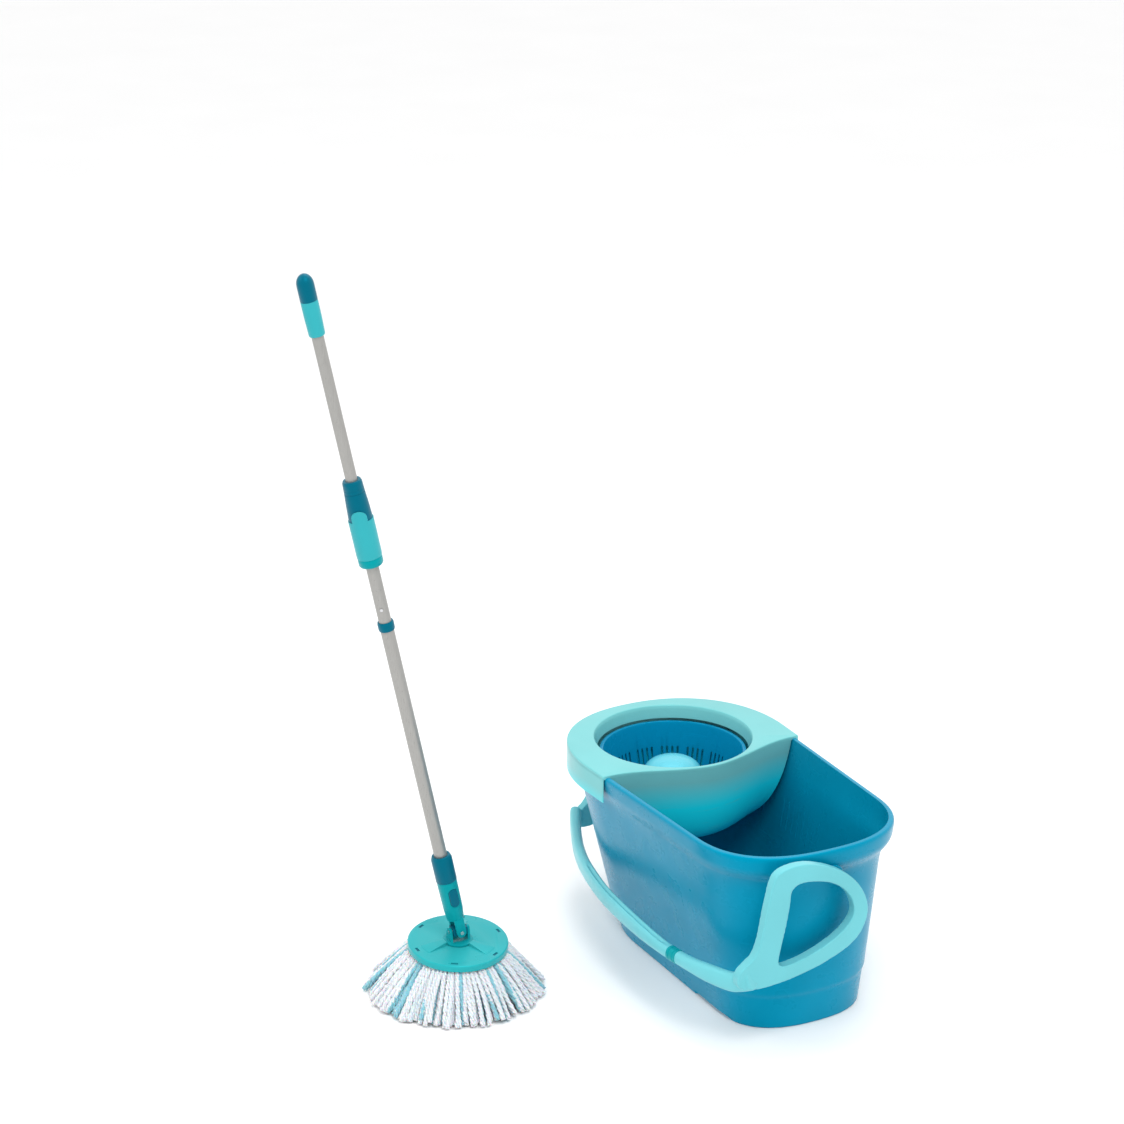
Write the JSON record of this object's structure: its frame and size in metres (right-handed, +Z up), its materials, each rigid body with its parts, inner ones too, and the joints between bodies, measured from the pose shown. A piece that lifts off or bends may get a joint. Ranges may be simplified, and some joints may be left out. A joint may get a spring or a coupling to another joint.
{
  "type": "spin mop",
  "caption": "Spin mop set: an oblong bucket with a turning basket and a swinging bail, and a round fringed mop on a jointed, push-to-spin telescopic handle.",
  "frame": {"origin": "on the floor, under the middle of the bucket's base", "axes": "+X along the bucket to its wash end, -Y towards the mop that stands beside it, +Z up"},
  "size_m": [0.598, 0.7457, 1.0223],
  "materials": {
    "tub_blue": "glossy moulded polypropylene",
    "collar_teal": "satin moulded polypropylene",
    "basket_blue": "glossy moulded polypropylene",
    "hub_cyan": "glossy moulded polypropylene",
    "bail_teal": "satin moulded polypropylene",
    "grip_teal": "satin moulded polypropylene",
    "accent_teal": "glossy moulded plastic",
    "disc_teal": "satin moulded plastic",
    "dark_teal": "fine grained plastic",
    "steel": "turned steel",
    "tube_grey": "silver grey powder coat on steel tube",
    "bearing_white": "natural acetal",
    "foot_rubber": "matt rubber",
    "yarn_white": "twisted microfibre yarn, white",
    "yarn_blue": "twisted microfibre yarn, light blue"
  },
  "bodies": {
    "bucket": {"bucket_tub": "tub_blue", "spin_insert": "collar_teal", "basket_axle": "steel", "thrust_washer": "bearing_white", "axle_clip": "steel", "pivot_pins": "steel", "bucket_feet": "foot_rubber"},
    "basket": {"spin_basket": "basket_blue", "hub_cap": "hub_cyan", "basket_bush": "bearing_white"},
    "bail": {"bail_handle": "bail_teal", "grip_insert": "accent_teal"},
    "mop_head": {"disc_plate": "disc_teal", "mop_ring": "dark_teal", "fringe_white": "yarn_white", "fringe_blue": "yarn_blue", "yoke": "accent_teal"},
    "cross": {"cross_block": "dark_teal", "yoke_pin": "steel", "fork_pins": "steel"},
    "lower_handle": {"connector": "accent_teal", "button_spring": "steel", "lower_sleeve": "dark_teal", "lower_tube": "tube_grey", "tube_ring": "dark_teal", "tube_rivet": "steel", "middle_tube": "tube_grey", "clutch_bearing": "bearing_white", "coupling_housing": "dark_teal", "top_guide": "bearing_white"},
    "release_button": {"connector_button": "dark_teal"},
    "spin_rod": {"drive_rod": "steel", "rod_collar": "steel"},
    "lock": {"lock_sleeve": "grip_teal", "lock_ring": "accent_teal"},
    "upper_handle": {"upper_tube": "tube_grey", "drive_nut": "bearing_white", "grip_sleeve": "grip_teal", "grip_cap": "dark_teal"}
  },
  "joints": [
    {"name": "bail_swing", "type": "hinge", "parent": "bucket", "child": "bail", "pos_m": [0, 0, 0.23], "axis": [-1, 0, 0], "range_deg": [0, 235]},
    {"name": "basket_spin", "type": "hinge", "parent": "bucket", "child": "basket", "pos_m": [-0.14, 0, 0.2], "axis": [0, 0, 1], "continuous": true},
    {"name": "mop_lift", "type": "slide", "parent": "bucket", "child": "mop_head", "axis": [0, 0, 1], "range_m": [0, 0.3]},
    {"name": "handle_swing", "type": "hinge", "parent": "mop_head", "child": "cross", "pos_m": [-0.051, -0.381, 0.092], "axis": [0, 1, 0], "range_deg": [-38, 38]},
    {"name": "handle_tilt", "type": "hinge", "parent": "cross", "child": "lower_handle", "pos_m": [-0.051, -0.381, 0.092], "axis": [1, 0, 0], "range_deg": [-38, 34]},
    {"name": "button_press", "type": "slide", "parent": "lower_handle", "child": "release_button", "axis": [-1, 0, 0], "range_m": [0, 0.003], "stiffness_N_per_m": 400, "springref_m": -0.003, "deforming": ["button_spring"]},
    {"name": "lock_slide", "type": "slide", "parent": "lower_handle", "child": "lock", "axis": [0, -0.2079, 0.9781], "range_m": [-0.008, 0]},
    {"name": "handle_push", "type": "slide", "parent": "lower_handle", "child": "upper_handle", "axis": [0, -0.2079, 0.9781], "range_m": [-0.17, 0.19]},
    {"name": "rod_spin", "type": "hinge", "parent": "lower_handle", "child": "spin_rod", "pos_m": [-0.051, -0.381, 0.092], "axis": [0, -0.2079, 0.9781], "range_deg": [-290, 260]}
  ],
  "couplings": [
    {"joint": "rod_spin", "follows": "handle_push", "rad_per_m": -26.18}
  ]
}
